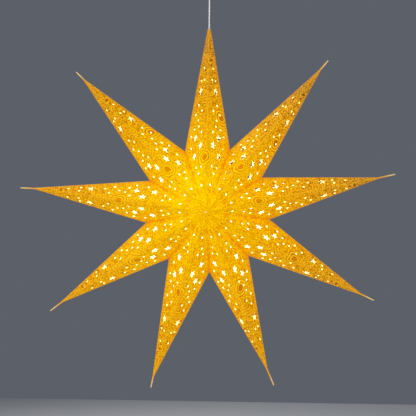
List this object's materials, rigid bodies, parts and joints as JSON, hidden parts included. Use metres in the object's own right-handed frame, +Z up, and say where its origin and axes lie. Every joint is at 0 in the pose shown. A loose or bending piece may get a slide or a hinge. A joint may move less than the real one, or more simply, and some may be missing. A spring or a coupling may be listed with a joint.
{
  "type": "folded paper star lantern",
  "caption": "Hanging lantern: a hollow star of folded, punched card arms lit by a small bulb, on a straight lamp cord below a ceiling fitting.",
  "frame": {"origin": "centre of the ceiling face that the fitting is screwed to, straight above the top arm", "axes": "+Z up along the lamp cord, the front of the star faces -Y, +X to the right seen from the front"},
  "size_m": [0.591, 0.1722, 0.6639],
  "materials": {
    "star_card": "matt printed card, yellow near the lamp to ochre at the tips",
    "cord_sheath": "smooth white flexible sheath",
    "holder_plastic": "moulded white, satin",
    "fitting_plastic": "moulded white, glossy",
    "block_plastic": "moulded pale grey",
    "insert_ceramic": "unglazed white",
    "contact_brass": "drawn sheet, bright",
    "bulb_glass": "opal, lit warm white"
  },
  "bodies": {
    "root": {"arm_1": "star_card", "arm_2": "star_card", "arm_3": "star_card", "arm_4": "star_card", "arm_5": "star_card", "arm_6": "star_card", "arm_7": "star_card", "arm_8": "star_card", "arm_9": "star_card", "cord_grip": "holder_plastic", "power_cord": "cord_sheath", "lampholder_cap": "holder_plastic", "lampholder_body": "holder_plastic", "contact_insert": "insert_ceramic", "screw_shell": "contact_brass", "centre_contact": "contact_brass", "led_bulb": "bulb_glass", "ceiling_plate": "fitting_plastic", "ceiling_cup": "fitting_plastic", "cup_gland": "fitting_plastic", "terminal_block": "block_plastic"}
  },
  "joints": []
}
